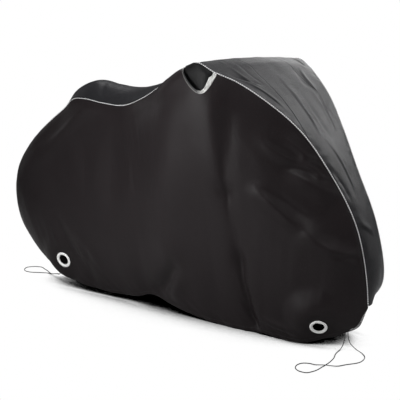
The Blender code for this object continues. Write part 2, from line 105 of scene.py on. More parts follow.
# How strong they are on each side, and the share over which they rise from the seam
FOLD_SCALE = {NEAR: 1.0, FAR: 0.75}
FOLD_FREE_SHARE = 0.06

# Where the far half of the hem hangs otherwise than the near half: name, middle x and z, reach,
# and the shift in x, y and z
DRAWN = (
    ("front corner",  0.967, 0.112, 0.090, -0.056, -0.034,  0.034),
    ("tail",         -0.790, 0.110, 0.100,  0.000, -0.025, -0.095),
)
# Half the breadth over which one half of the cover passes into the other
DRAWN_FADE = 0.055
# The same for the near half
LET_DOWN = (
    ("front corner",  0.940, 0.110, 0.055,  0.020,  0.000, -0.016),
)

# Eyelets: name, run, share, where the cloth faces, turned from -Y towards +X and raised, in
# degrees, and the ring's outer and inner radius
EYELETS = (
    ("tail",  0.628, 0.852,   8.0, -16.0,  0.0385, 0.0250),
    ("front", 2.820, 0.872,  30.0, -29.0,  0.0340, 0.0225),
)
# How far from its middle the cloth is flat, and where it has its own shape again
FLAT_REACH, BLEND_REACH = 0.044, 0.150

# The middle piece's half-width, the gap in a felled seam, and the gussets' first and last run
CENTRE_HALF = 0.130
SEAM_GAP = 0.0009
GUSSET_RUNS = (1.500, 2.470)

# Vents: the run where they are deepest and their first and last run, then the outlines of the
# mouth and of the tape's inner edge: reach back and forward, depth as a share, and the power
# of the curve at the rear and at the front
VENT_RUN = 1.965
VENT_RUNS = (1.848, 2.046)
VENT_OUTER = (0.120, 0.081, 0.100, 1.6, 2.3)
VENT_INNER = (0.114, 0.058, 0.093, 1.6, 3.0)

# Cords: the points of each loop's way, x, y and z, from behind the near hem and back there
TAIL_CORD = (
    (-0.646, -0.107, 0.077), (-0.651, -0.101, 0.066), (-0.662, -0.093, 0.054),
    (-0.702, -0.070, 0.042), (-0.742, -0.046, 0.031), (-0.783, -0.022, 0.020),
    (-0.824, 0.002, 0.009), (-0.868, 0.028, 0.002),
    (-0.908, 0.050, 0.002), (-0.952, 0.068, 0.002), (-0.987, 0.083, 0.002),
    (-1.028, 0.069, 0.002), (-1.044, 0.037, 0.002), (-1.026, 0.001, 0.002),
    (-0.992, -0.022, 0.002), (-0.955, -0.024, 0.002), (-0.913, -0.002, 0.002),
    (-0.868, 0.019, 0.002), (-0.826, -0.002, 0.009), (-0.785, -0.027, 0.020),
    (-0.744, -0.051, 0.031), (-0.702, -0.075, 0.042), (-0.656, -0.0995, 0.056),
    (-0.646, -0.101, 0.066), (-0.640, -0.1095, 0.079),
)
FRONT_CORD = (
    (0.902, -0.0806, 0.080), (0.896, -0.078, 0.052), (0.898, -0.086, 0.033), (0.896, -0.094, 0.014),
    (0.895, -0.105, 0.005), (0.897, -0.125, 0.002), (0.906, -0.158, 0.002),
    (0.926, -0.203, 0.002), (0.939, -0.250, 0.002), (0.947, -0.310, 0.002),
    (0.948, -0.378, 0.002), (0.938, -0.403, 0.002), (0.913, -0.407, 0.002),
    (0.877, -0.384, 0.002), (0.864, -0.348, 0.002), (0.869, -0.326, 0.002),
    (0.889, -0.313, 0.002), (0.917, -0.313, 0.003), (0.949, -0.305, 0.0065),
    (0.984, -0.279, 0.003), (1.001, -0.241, 0.002), (1.026, -0.186, 0.002),
    (1.021, -0.148, 0.002), (1.009, -0.121, 0.002), (0.980, -0.093, 0.003),
    (0.946, -0.082, 0.010), (0.919, -0.080, 0.030), (0.909, -0.076, 0.058),
    (0.908, -0.0780, 0.084),
)

# ------------------------ Folds and finish of the cloth ------------------------
# Thickness of the visible cloth
CLOTH = 0.0013

# Creases of the sides: name, the x and z of its start, middle and end, half-breadth, how much
# it leans to its left as it runs, and height, which is below zero for a trough
SIDE_CREASES = (
    ("saddle edge",      -.430, .864,  -.567, .762,  -.720, .655,  .020,  .4,  .0040),
    ("cantle shade",     -.530, .835,  -.640, .750,  -.790, .620,  .050,  .0, -.0080),
    ("saddle drop",      -.330, .860,  -.345, .640,  -.330, .380,  .045,  .0,  .0030),
    ("tail crease",      -.587, .333,  -.500, .210,  -.410, .083,  .018, -.3, -.0055),
    ("tail ray",         -.540, .330,  -.400, .240,  -.300, .110,  .024,  .2,  .0045),
    ("eyelet ray",       -.640, .300,  -.600, .240,  -.575, .190,  .012,  .0,  .0030),
    ("hem shade",        -.396, .289,  -.400, .190,  -.410, .083,  .026,  .0, -.0040),
    ("groove ease",       .487, .905,   .453, .574,   .478, .250,  .035,  .0,  .0050),
    ("groove line",       .489, .865,   .456, .600,   .462, .433,  .014,  .3, -.0045),
    ("groove foot",       .462, .433,   .478, .250,   .512, .040,  .014,  .3, -.0075),
    ("pleat lap",         .175, .260,   .090, .160,   .010, .080,  .014, -.5, -.0100),
    ("pleat roll",        .215, .230,   .140, .140,   .075, .050,  .024,  .4,  .0070),
    ("eyelet ease",       .760, .300,   .800, .220,   .830, .120,  .060,  .0, -.0100),
    ("front lap",         .465, .165,   .508, .062,   .545, .010,  .014,  .4, -.0120),
    ("front roll",        .510, .090,   .610, .060,   .750, .044,  .015,  .3,  .0080),
    ("neck ridge",        .590, .812,   .646, .759,   .725, .710,  .017, -.5,  .0110),
    ("neck hollow",       .638, .800,   .690, .752,   .750, .715,  .014,  .2, -.0085),
    ("seam ridge",        .665, .824,   .720, .771,   .780, .710,  .012, -.5,  .0090),
    ("seam hollow",       .680, .850,   .746, .782,   .815, .700,  .011,  .2, -.0100),
    ("pinch ridge",       .730, .724,   .775, .692,   .830, .640,  .012, -.5,  .0090),
    ("pinch hollow",      .740, .745,   .790, .706,   .840, .660,  .010,  .2, -.0080),
    ("brow hollow",       .650, .702,   .722, .686,   .805, .655,  .012,  .0, -.0080),
    ("brow ridge",        .665, .690,   .743, .652,   .870, .575,  .030, -.5,  .0185),
    ("fork ridge top",    .540, .630,   .640, .555,   .760, .440,  .024, -.5,  .0150),
    ("fork hollow",       .595, .625,   .700, .555,   .800, .480,  .015,  .2, -.0080),
    ("fork ridge foot",   .700, .500,   .845, .395,   .970, .335,  .042, -.4,  .0230),
    ("wheel pull",        .800, .432,   .890, .395,   .960, .380,  .013, -.4,  .0050),
    ("wheel hollow",      .860, .380,   .915, .365,   .965, .355,  .011,  .0, -.0080),
    ("band fullness",     .170, .930,   .130, .480,   .120, .080,  .100,  .0,  .0200),
    ("mid crease",       -.200, .900,  -.089, .781,  -.050, .600,  .013,  .3, -.0040),
    ("mid crease two",   -.193, .860,  -.118, .653,  -.069, .447,  .014, -.3,  .0035),
    ("vent pull",         .330, .930,   .250, .820,   .180, .640,  .045,  .2,  .0030),
    ("vent pull front",   .440, .900,   .560, .780,   .640, .640,  .035,  .2,  .0025),
)

# Creases of the top panel, in run and across, in the same columns
TOP_CREASES = (
    ("gusset fold",       1.931, -.222,  2.089, -.227,  2.213, -.162,  .007,  .3,  .0026),
    ("gusset fold two",   1.960, -.170,  2.080, -.180,  2.200, -.140,  .007,  .2, -.0014),
    ("gusset fold three", 2.040, -.290,  2.123, -.228,  2.180, -.150,  .008,  .3, -.0036),
    ("gusset fold four",  2.090, -.270,  2.190, -.200,  2.330, -.150,  .008,  .3,  .0030),
    ("brow crease",       1.944,  .244,  1.997,  .273,  2.063,  .253,  .009,  .2, -.0036),
    ("brow facet",        2.050,  .155,  2.147,  .125,  2.225,  .090,  .028,  .4, -.0045),
    ("brow ridge",        2.055,  .205,  2.181,  .146,  2.280,  .132,  .010,  .3,  .0045),
    ("chest ridge top",   2.085, -.010,  2.237, -.034,  2.500, -.049,  .015,  .6,  .0034),
    ("chest ridge foot",  2.440, -.050,  2.568, -.010,  2.760, -.016,  .013,  .6,  .0030),
    ("chest trough",      2.200,  .020,  2.340, -.005,  2.520,  .005,  .020, -.2, -.0030),
    ("far trough",        2.140,  .220,  2.318,  .128,  2.480,  .075,  .020,  .3, -.0070),
    ("far ridge",         2.200,  .110,  2.320,  .085,  2.480,  .045,  .009, -.4,  .0040),
    ("wheel crease",      2.590, -.105,  2.647, -.073,  2.760, -.058,  .009,  .2, -.0026),
    ("wheel fold",        2.814, -.075,  2.850, -.030,  2.886,  .030,  .013,  .5,  .0060),
    ("saddle fold",       1.040,  .020,  1.080, -.040,  1.130, -.100,  .012, -.6, -.0050),
    ("saddle wrinkle",    1.160, -.104,  1.185, -.080,  1.225, -.062,  .007,  .2,  .0028),
    ("saddle pinch",      1.190, -.108,  1.210, -.088,  1.240, -.076,  .006,  .2, -.0028),
)

# Ripples that a sewn edge or a drawn hem puts into the cloth: pitch, height and how far in
# they reach, and how many times finer their second wave is
SEAM_RIPPLE = (0.022, 0.0010, 0.035)
TOP_RIPPLE = (0.024, 0.0018, 0.030)
HEM_RIPPLE = (0.034, 0.0016, 0.060)
FINER = 2.3

# How deep the turned hem is, and how far it stands out
HEM_FOLD = 0.018
HEM_FOLD_RISE = 0.0008

# Stretches beside a seam over which creases, drapes, the top's relief and its ripples rise
CREASE_FREE, DRAPE_FREE_SHARE = 0.016, 0.15
TOP_FREE, TOP_RIPPLE_FREE = 0.03, 0.008

# Unevenness of a side: the height and pitch of its drapes, and the height and pitches, in x
# and z, of its broad swells. Unevenness of the top: height, pitch along, pitch across and seed.
DRAPE_RISE, DRAPE_PITCH = 0.0011, 0.09
SWELL_RISE, SWELL_PITCHES = 0.0022, (0.17, 0.21)
TOP_UNEVEN = ((0.0010, 0.16, 0.05, 70), (0.0006, 0.05, 0.04, 71))

# Random heights: how many there are each way before they repeat, and the other seeds
LATTICE_SIZE = 64
TOP_RIPPLE_SEED = 73
SIDE_SEEDS = {NEAR: 10, FAR: 40}

# How far the sides billow out past the seam at the tail, by run
BILLOW_RUNS = (0.0, 0.25, 0.60, 0.95, 1.10, 3.2)
BILLOW = (0.016, 0.013, 0.008, 0.003, 0.0, 0.0)


def smooth(knots, values, at):
    """Cubic through `values`, along their last axis, at `knots`.

    The slope at a knot is the mean of the slopes beside it, each weighted by the other's
    length, and both ends run out straight.
    """
    knots, values, at = np.asarray(knots, float), np.asarray(values, float), np.asarray(at, float)
    steps = np.diff(knots)
    slopes = np.diff(values, axis=-1) / steps
    inner = (slopes[..., :-1] * steps[1:] + slopes[..., 1:] * steps[:-1]) / (steps[1:] + steps[:-1])
    first = 1.5 * slopes[..., :1] - 0.5 * inner[..., :1]
    last = 1.5 * slopes[..., -1:] - 0.5 * inner[..., -1:]
    tangents = np.concatenate([first, inner, last], -1)
    shape = np.broadcast_shapes(at.shape, values.shape[:-1])
    at = np.broadcast_to(at, shape)
    values = np.broadcast_to(values, shape + knots.shape)
    tangents = np.broadcast_to(tangents, shape + knots.shape)
    index = np.clip(np.searchsorted(knots, at, side="right") - 1, 0, len(knots) - 2)

    def pick(array, offset):
        return np.take_along_axis(array, (index + offset)[..., None], -1)[..., 0]

    length = steps[index]
    s = (at - knots[index]) / length
    start = (1 + 2 * s) * (1 - s) ** 2 * pick(values, 0) + s * (1 - s) ** 2 * length * pick(tangents, 0)
    end = s * s * (3 - 2 * s) * pick(values, 1) + s * s * (s - 1) * length * pick(tangents, 1)
    return start + end


def fade(x):
    """Smooth step from 0 to 1 as x goes from 0 to 1."""
    x = np.clip(x, 0.0, 1.0)
    return x * x * (3 - 2 * x)


def lengths_along(path):
    """Distance of each point of a path from its start, along the path."""
    return np.concatenate([[0.0], np.cumsum(np.linalg.norm(np.diff(path, axis=0), axis=1))])


def unit(vectors):
    """Vectors scaled to a length of 1."""
    return vectors / np.linalg.norm(vectors, axis=-1, keepdims=True)


TABLE = np.array([row[1:] for row in SECTIONS])
SEAM_POINTS = np.stack([TABLE[:, SEAM_X], -TABLE[:, SEAM_HALF], TABLE[:, SEAM_Z]], 1)
RUNS = lengths_along(SEAM_POINTS)


def section(run):
    """The table's columns at a run along the seam, on a new last axis."""
    return smooth(RUNS, TABLE.T, np.asarray(run, float)[..., None])


def way_down(row):
    """How far x and z change from the seam down to the hem, in a row of the table."""
    return row[..., HEM_X] - row[..., SEAM_X], row[..., HEM_Z] - row[..., SEAM_Z]


def seam_direction(run):
    """Direction of the seam in side view, as x and z."""
    step = 0.001
    change = section(run + step) - section(run - step)
    length = np.hypot(change[..., SEAM_X], change[..., SEAM_Z])
    return change[..., SEAM_X] / length, change[..., SEAM_Z] / length


def lattice(first, second, seed):
    """Smooth uneven heights from -1 to 1: random values at whole numbers, faded between."""
    values = np.random.default_rng(seed).uniform(-1, 1, (LATTICE_SIZE, LATTICE_SIZE))
    a, b = np.floor(first).astype(int), np.floor(second).astype(int)
    s, t = fade(first - a), fade(second - b)
    rows = (a % LATTICE_SIZE, (a + 1) % LATTICE_SIZE)
    left, right = b % LATTICE_SIZE, (b + 1) % LATTICE_SIZE
    start, end = (values[row, left] * (1 - t) + values[row, right] * t for row in rows)
    return start * (1 - s) + end * s


def straight_fold(first, second, x0, z0, x1, z1, breadth, rise):
    """A bell of the given height across the line from one point to the other."""
    length = np.hypot(x1 - x0, z1 - z0)
    along = ((first - x0) * (x1 - x0) + (second - z0) * (z1 - z0)) / length
    across = ((first - x0) * (z1 - z0) - (second - z0) * (x1 - x0)) / length
    past = along - np.clip(along, 0, length)
    return rise * np.exp(-((across ** 2 + past ** 2) / breadth ** 2))


def bent_fold(first, second, points, breadth, lean, rise):
    """A crease along a curve through three points.

    The curve is a parabola over the line from start to end. The height is a bell across it,
    steeper on one side, which widens and sinks to nothing at both ends.
    """
    start, middle, end = (np.array(point) for point in points)
    chord = end - start
    length = np.hypot(*chord)
    along_axis, across_axis = chord / length, np.array([-chord[1], chord[0]]) / length
    bulge, peak = (middle - start) @ across_axis, (middle - start) @ along_axis / length
    x, z = first - start[0], second - start[1]
    place = (x * along_axis[0] + z * along_axis[1]) / length
    curve = bulge * place * (1 - place) / max(peak * (1 - peak), 0.1)
    off = x * across_axis[0] + z * across_axis[1] - curve
    window = fade(place / 0.5) * fade((1 - place) / 0.3)
    reach = breadth * (1 + lean * np.tanh(off / breadth)) * (1.3 - 0.3 * window)
    return rise * window * np.exp(-((off / reach) ** 2))


def broad_folds(x, z):
    """Height of all the broad folds at places in side view."""
    return sum(straight_fold(x, z, *fold[1:]) for fold in FOLDS)


def crease_height(first, second, table):
    """Height of all the creases in a table at places given by its two coordinates."""
    height = np.zeros(np.broadcast_shapes(np.shape(first), np.shape(second)))
    for _, a0, b0, a1, b1, a2, b2, breadth, lean, rise in table:
        height = height + bent_fold(first, second, ((a0, b0), (a1, b1), (a2, b2)), breadth, lean, rise)
    return height


def ripple(along, inward, sizes, seed):
    """Small uneven gathers beside an edge, which die out away from it."""
    pitch, rise, reach = sizes
    wave = lattice(along / pitch, inward / reach, seed)
    wave = wave + 0.5 * lattice(along / pitch * FINER, inward / reach, seed + 1)
    return rise * wave * np.exp(-((inward / reach) ** 2))


def side_relief(run, share, x, z, chord, hand):
    """Height of the folds, creases, gathers and unevenness of a side panel."""
    height = broad_folds(x, z) * fade(share / FOLD_FREE_SHARE)
    height = height + crease_height(x, z, SIDE_CREASES) * fade(share * chord / CREASE_FREE)
    height = height * FOLD_SCALE[hand]
    seed = SIDE_SEEDS[hand]
    drape = lattice(run / DRAPE_PITCH + share, share * 2.2, seed)
    drape = drape + 0.5 * lattice(2 * run / DRAPE_PITCH, share * 3.1, seed + 1)
    swell = lattice(x / SWELL_PITCHES[0], z / SWELL_PITCHES[1], seed + 2)
    free = fade(share / DRAPE_FREE_SHARE)
    height = height + free * (DRAPE_RISE * drape + SWELL_RISE * swell)
    height = height + ripple(run, share * chord, SEAM_RIPPLE, seed + 3)
    inward = (1 - share) * chord
    height = height + ripple(x + z, inward, HEM_RIPPLE, seed + 5) * free
    return height + HEM_FOLD_RISE * fade(1.5 - inward / HEM_FOLD)


def far_share(points):
    """How far points belong to the far half: 0 to 1 across the middle."""
    return fade((points[..., 1] + DRAWN_FADE) / (2 * DRAWN_FADE))


def shifted(points, table, weight):
    """Points moved by each shift in a table, under a bell about its place, times a weight."""
    shift = 0 * points
    for _, x, z, reach, *move in table:
        distance = np.hypot(points[..., 0] - x, points[..., 2] - z) / reach
        shift = shift + (np.exp(-distance ** 2) * weight)[..., None] * np.array(move)
    return points + shift


def draw_back(points):
    """Shift the far half of the hem: drawn back by its cord at the front, lower at the tail."""
    return shifted(points, DRAWN, far_share(points))


def let_down(points):
    """Let the near front corner of the hem down a little, forward of its straight line."""
    return shifted(points, LET_DOWN, 1 - far_share(points))


def draped_side(run, share, hand):
    """Points of a side: straight lines from seam to hem in side view, with the half-width read
    down the section and the relief added to it, rolled up or out past the seam near its top."""
    row = section(run)
    down_x, down_z = way_down(row)
    x = row[..., SEAM_X] + down_x * share
    z = row[..., SEAM_Z] + down_z * share
    chord = np.hypot(down_x, down_z)
    half = smooth(LEVELS, row[..., WIDTHS], share)
    half = half + side_relief(run, share, x, z, chord, hand)
    roll = share / ROLL_SHARE
    hump = roll * np.exp(1 - roll)
    out = np.interp(run, BILLOW_RUNS, BILLOW) * hump / chord
    points = np.stack([x - out * down_x, hand * half, z + row[..., ROLL] * hump - out * down_z], -1)
    return let_down(draw_back(points))


def eyelet_frame(eyelet, hand):
    """Middle and outward normal of an eyelet, on the smooth cloth without its creases."""
    _, run, share, turn, raised, _, _ = eyelet
    turn, raised = np.radians(turn), np.radians(raised)
    level = np.cos(raised)
    normal = np.array([np.sin(turn) * level, hand * np.cos(turn) * level, np.sin(raised)])
    row = section(run)
    down_x, down_z = way_down(row)
    x, z = row[SEAM_X] + down_x * share, row[SEAM_Z] + down_z * share
    half = smooth(LEVELS, row[WIDTHS], share) + broad_folds(x, z) * FOLD_SCALE[hand]
    return let_down(draw_back(np.array([x, hand * half, z]))), normal


def side(run, share, hand):
    """Points of a side, flat around each eyelet."""
    points = draped_side(run, share, hand)
    for eyelet in EYELETS:
        middle, normal = eyelet_frame(eyelet, hand)
        off = (points - middle) @ normal
        flat = points - off[..., None] * normal
        reach = np.linalg.norm(flat - middle, axis=-1)
        weight = 1 - fade((reach - FLAT_REACH) / (BLEND_REACH - FLAT_REACH))
        points = points - (weight * off)[..., None] * normal
    return points


def lifted(surface, first, second, flip, height, step=0.002):
    """Points at a height over a surface of two parameters, and the outward normals there, from
    small steps along it."""
    along = surface(first + step, second) - surface(first - step, second)
    down = surface(first, second + step) - surface(first, second - step)
    normal = unit(np.cross(along, down) * flip)
    return surface(first, second) + np.asarray(height)[..., None] * normal, normal


def top(run, across):
    """Points of the top panel, crowned over the line between its two seams."""
    row = section(run)
    along_x, along_z = seam_direction(run)
    half, away = row[..., SEAM_HALF], np.abs(across)
    inward = half - away
    relief = crease_height(run, across, TOP_CREASES)
    for height, pitch, side_pitch, seed in TOP_UNEVEN:
        relief = relief + height * lattice(run / pitch, across / side_pitch, seed)
    rise = row[..., CROWN] * (1 - np.clip(away / half, 0, 1) ** CROWN_POWER)
    rise = rise + relief * fade(inward / TOP_FREE)
    gathers = ripple(run, inward, TOP_RIPPLE, TOP_RIPPLE_SEED)
    rise = rise + gathers * fade(inward / TOP_RIPPLE_FREE)
    x = row[..., SEAM_X] - rise * along_z
    z = row[..., SEAM_Z] + rise * along_x
    return draw_back(np.stack([x, across + 0 * x, z], -1))


def vent_edge(run, shape):
    """Share down to which a vent's outline cuts the side: a deep round-bottomed scallop."""
    rear, front, depth, rear_power, front_power = shape
    away = run - VENT_RUN
    reach = np.where(away < 0, np.abs(away) / rear, np.abs(away) / front)
    power = np.where(away < 0, rear_power, front_power)
    return depth * (1 - np.clip(reach, 0, 1) ** power)


def first_share(run):
    """Share at which the side starts, clear of the piping."""
    row = section(run)
    along_x, along_z = seam_direction(run)
    down_x, down_z = way_down(row)
    return (PIPING_RADIUS + PIPING_CLEARANCE) / np.abs(down_x * along_z - down_z * along_x)


# ------------------------ Meshes ------------------------
RING_STEPS = 72
# A stitch is a bar of so many rings of so many points. Its middle stands a height above the
# cloth, in thicknesses, and it drops with the square of the way to its ends. Its girth narrows
# as an ellipse's does, and the square of it no further than the least.
BAR_RINGS, BAR_SIDES = 5, 6
BAR_HEIGHT, BAR_DROP = 0.75, 4.4
BAR_TAPER, BAR_LEAST = 1.8, 0.08
# The corners of a cell, taken the other way round
TURNED_OVER = (0, 3, 2, 1)


def new_mesh(name, points, faces, uv=None):
    """An object at the origin from points, faces and, in metres, a UV place for each point."""
    mesh = bpy.data.meshes.new(name)
    mesh.from_pydata(points.reshape(-1, 3), [], faces)
    if uv is not None:
        layer = mesh.uv_layers.new(name="Weave")
        corners = np.empty(len(mesh.loops), np.int32)
        mesh.loops.foreach_get("vertex_index", corners)
        layer.data.foreach_set("uv", uv.reshape(-1, 2)[corners].astype(np.float32).ravel())
    mesh.shade_smooth()
    made = bpy.data.objects.new(name, mesh)
    bpy.context.scene.collection.objects.link(made)
    return made


def grid_cells(rows, columns, closed=(0, 0)):
    """The four corner numbers of each cell of a grid, on a new last axis. `closed` holds a 1
    for each of its two directions in which the last points join the first."""
    number = np.arange(rows * columns).reshape(rows, columns)
    number = np.pad(number, [(0, join) for join in closed], mode="wrap")
    return np.stack([number[:-1, :-1], number[1:, :-1], number[1:, 1:], number[:-1, 1:]], -1)


def cloth_piece(name, points, uv, outward, keep=None, thickness=CLOTH):
    """A sheet over a grid of points, thickened to the inside."""
    cells = grid_cells(*points.shape[:2])
    cells = cells.reshape(-1, 4) if keep is None else cells[keep]
    if not outward:
        cells = cells[:, ::-1]
    used, fresh = np.unique(cells, return_inverse=True)
    points, uv = points.reshape(-1, 3)[used], uv.reshape(-1, 2)[used]
    made = new_mesh(name, points, fresh.reshape(cells.shape), uv)
    wall = made.modifiers.new("Thickness", "SOLIDIFY")
    wall.thickness = thickness
    wall.offset = -1.0
    return made


def angles(steps):
    """Even angles round a full turn."""
    return np.linspace(0, 2 * np.pi, steps, endpoint=False)


def ways_round(first, second, steps):
    """Directions all the way round in the plane of two directions, on a new last axis but one."""
    angle = angles(steps)[:, None]
    return np.cos(angle) * first[..., None, :] + np.sin(angle) * second[..., None, :]


def tube(name, path, radius, around, up):
    """A round tube along a path, with its ends closed. Its UV is the length along and the
    distance round, in metres, from the side that is nearest to `up`."""
    along = unit(np.gradient(path, axis=0))
    side_way = unit(np.cross(along, up))
    points = path[:, None, :] + radius * ways_round(np.cross(side_way, along), side_way, around)
    faces = grid_cells(len(path), around, closed=(0, 1)).reshape(-1, 4).tolist()
    last = len(path) * around - 1
    faces += [list(range(around)), list(range(last, last - around, -1))]
    uv = np.stack(np.broadcast_arrays(lengths_along(path)[:, None], radius * angles(around)), -1)
    return new_mesh(name, points, faces, uv)


def turned_ring(name, profile, middle, normal):
    """A closed profile of distances from the axis and heights, turned about a normal."""
    profile = np.array(profile)
    first = unit(np.cross(normal, (0.0, 0.0, 1.0)))
    way = ways_round(first, np.cross(normal, first), RING_STEPS)
    points = middle + profile[None, :, :1] * way[:, None, :] + profile[None, :, 1:] * normal
    cells = grid_cells(RING_STEPS, len(profile), closed=(1, 1))[..., TURNED_OVER]
    return new_mesh(name, points, cells.reshape(-1, 4))


def stitches(name, path, normals, size):
    """A row of thread stitches along a path that lies on the cloth: each a short bar, highest in
    its middle and sunk into the cloth at both ends. The size is pitch, length and thickness."""
    pitch, length, thickness = size
    lengths = lengths_along(path)
    centres = np.arange(pitch / 2, lengths[-1], pitch)

    def read(values):
        return np.stack([np.interp(centres, lengths, values[:, i]) for i in range(3)], 1)

    middle, way, out = read(path), unit(read(np.gradient(path, axis=0))), unit(read(normals))
    t = np.linspace(-0.5, 0.5, BAR_RINGS)
    lift = thickness * (BAR_HEIGHT - BAR_DROP * t ** 2)
    girth = thickness * np.sqrt(np.clip(1 - (BAR_TAPER * t) ** 2, BAR_LEAST, 1))
    centre = middle[:, None] + length * t[:, None] * way[:, None] + lift[:, None] * out[:, None]
    ring = ways_round(out, np.cross(way, out), BAR_SIDES)
    points = centre[:, :, None] + girth[:, None, None] * ring[:, None]
    start = BAR_RINGS * BAR_SIDES * np.arange(len(centres))[:, None, None]
    cells = grid_cells(BAR_RINGS, BAR_SIDES, closed=(0, 1))[..., TURNED_OVER].reshape(-1, 4)
    first_end = np.arange(BAR_SIDES)
    ends = np.stack([first_end[::-1], first_end + (BAR_RINGS - 1) * BAR_SIDES])
    faces = (cells + start).reshape(-1, 4).tolist() + (ends + start).reshape(-1, BAR_SIDES).tolist()
    return new_mesh(name, points, faces)


# ------------------------ Materials ------------------------
# Handled cloth: how large its clouds of tone are and how far they spread, how high its fine
# creases and its threads stand, its dust and its gloss
CLOUD_SIZE, CLOUD_SPREAD = 0.3, 0.18
CRUMPLE_HEIGHT, THREAD_HEIGHT = 0.0008, 0.00012
DUST_SHARE, DUST_COLOUR = 0.04, (0.22, 0.21, 0.20, 1.0)
CLOTH_GLOSS = 0.13

# The pitch of the piping's stitches, and how tight its twist and the cord's braid are, in
# radians per metre
PIPING_STITCH = 0.0088
PIPING_TWIST = 900.0
BRAID_TWIST = 2600.0

# The tape's breadth on its UV map, and the parts that keep their own bright colour, each from
# where it starts to where it is full: the front half and the rear tip, along the tape, and the
# outer edge, across it. The rest of the rear half is painted dark as shade.
TAPE_BREADTH = 0.02
TAPE_FRONT, TAPE_REAR, TAPE_RIM = (0.118, 0.150), (0.030, 0.004), (0.0135, 0.0165)

# The felled seam's half-width, and where its painted shadow lines start and how softly
SEAM_BAND_HALF, SEAM_SHADOW_START, SEAM_SHADOW_SOFT = 0.0064, 0.0018, 0.0006


class Nodes:
    """A short way to place and join shader nodes in one tree."""

    def __init__(self, tree):
        self.tree = tree

    def join(self, node, inputs):
        """Set a node's inputs, by name or number, or join them to other nodes' outputs."""
        for key, value in inputs.items():
            if isinstance(value, bpy.types.NodeSocket):
                self.tree.links.new(value, node.inputs[key])
            else:
                node.inputs[key].default_value = value

    def add(self, kind, inputs, **settings):
        """The outputs of a new node with the given settings and inputs."""
        node = self.tree.nodes.new(kind)
        for key, value in settings.items():
            setattr(node, key, value)
        self.join(node, inputs)
        return node.outputs

    def math(self, operation, first, second=0.0, third=0.0):
        """The value of one sum."""
        return self.add("ShaderNodeMath", {0: first, 1: second, 2: third}, operation=operation)[0]

    def span(self, value, low=0.0, high=1.0, start=0.0, end=1.0):
        """A value taken from between low and high to between start and end, and kept there."""
        return self.add("ShaderNodeMapRange", {0: value, 1: low, 2: high, 3: start, 4: end})[0]

    def blend(self, share, first, second):
        """The colour at a share of the way from one to another."""
        return self.add("ShaderNodeMix", {0: share, 6: first, 7: second}, data_type="RGBA")[2]

    def scaled(self, vector, scale):
        """A vector or a colour times a value."""
        return self.add("ShaderNodeVectorMath", {0: vector, "Scale": scale}, operation="SCALE")[0]

    def parts(self, vector):
        """The three parts of a vector."""
        return self.add("ShaderNodeSeparateXYZ", {0: vector})

    def noise(self, place, scale, detail, roughness=0.5):
        """Soft noise from 0 to 1."""
        inputs = {"Vector": place, "Scale": scale, "Detail": detail, "Roughness": roughness}
        return self.add("ShaderNodeTexNoise", inputs)["Fac"]

    def bump(self, height, strength, distance, **below):
        """The normal that a height tilts, over another normal if there is one."""
        inputs = {"Height": height, "Strength": strength, "Distance": distance, **below}
        return self.add("ShaderNodeBump", inputs)[0]

    def off_middle(self, value):
        """How far a value is from a half."""
        return self.math("ABSOLUTE", self.math("SUBTRACT", value, 0.5))


def new_group(name, values, results):
    """An empty node group, its helper and its inputs: a place, and values with their defaults."""
    group = bpy.data.node_groups.new(name, "ShaderNodeTree")
    group.interface.new_socket("Place", in_out="INPUT", socket_type="NodeSocketVector")
    for label, default in values.items():
        socket = group.interface.new_socket(label, in_out="INPUT", socket_type="NodeSocketFloat")
        socket.default_value = default
    for label in results:
        group.interface.new_socket(label, in_out="OUTPUT", socket_type="NodeSocketFloat")
    nodes = Nodes(group)
    return group, nodes, nodes.add("NodeGroupInput", {})


def weave_group():
    """Plain weave: over each cell of a checker the rounded back of a warp or a weft thread, its
    tone painted darker where the thread dips, as shade.
    """
    group, nodes, given = new_group(
        "plain_weave", {"Threads per metre": 1100.0}, ("Height", "Tone")
    )
    place = nodes.scaled(given["Place"], given["Threads per metre"])
    parts = nodes.parts(place)
    warp, weft = (
        nodes.math("ABSOLUTE", nodes.math("SINE", nodes.math("MULTIPLY", part, np.pi)))
        for part in (parts[0], parts[1])
    )
    over = nodes.add("ShaderNodeTexChecker", {"Vector": place, "Scale": 1.0})["Fac"]
    height = nodes.add("ShaderNodeMix", {0: over, 2: warp, 3: weft})[0]
    # Painted shade: the tone falls with the thread's height
    tone_with_painted_shade = nodes.math("MULTIPLY_ADD", height, 0.35, 0.80)
    nodes.add("NodeGroupOutput", {"Height": height, "Tone": tone_with_painted_shade})
    return group


def handling_group():
    """Unevenness of used cloth: soft clouds of tone, fine creases for the bump, and dust."""
    group, nodes, given = new_group("handling", {}, ("Tone", "Crumple", "Dust"))
    place = given["Place"]
    cloud = nodes.math("SUBTRACT", nodes.noise(place, 1 / CLOUD_SIZE, 3.0), 0.5)
    stretched = nodes.add("ShaderNodeMapping", {"Vector": place, "Scale": (1.0, 0.35, 0.35)})[0]
    nodes.add("NodeGroupOutput", {
        "Tone": nodes.math("MULTIPLY_ADD", cloud, CLOUD_SPREAD, 1.0),
        "Crumple": nodes.off_middle(nodes.noise(stretched, 55.0, 4.0, 0.6)),
        "Dust": nodes.span(nodes.noise(place, 260.0, 2.0), 0.55, 0.80),
    })
    return group


WEAVE = weave_group()
HANDLING = handling_group()


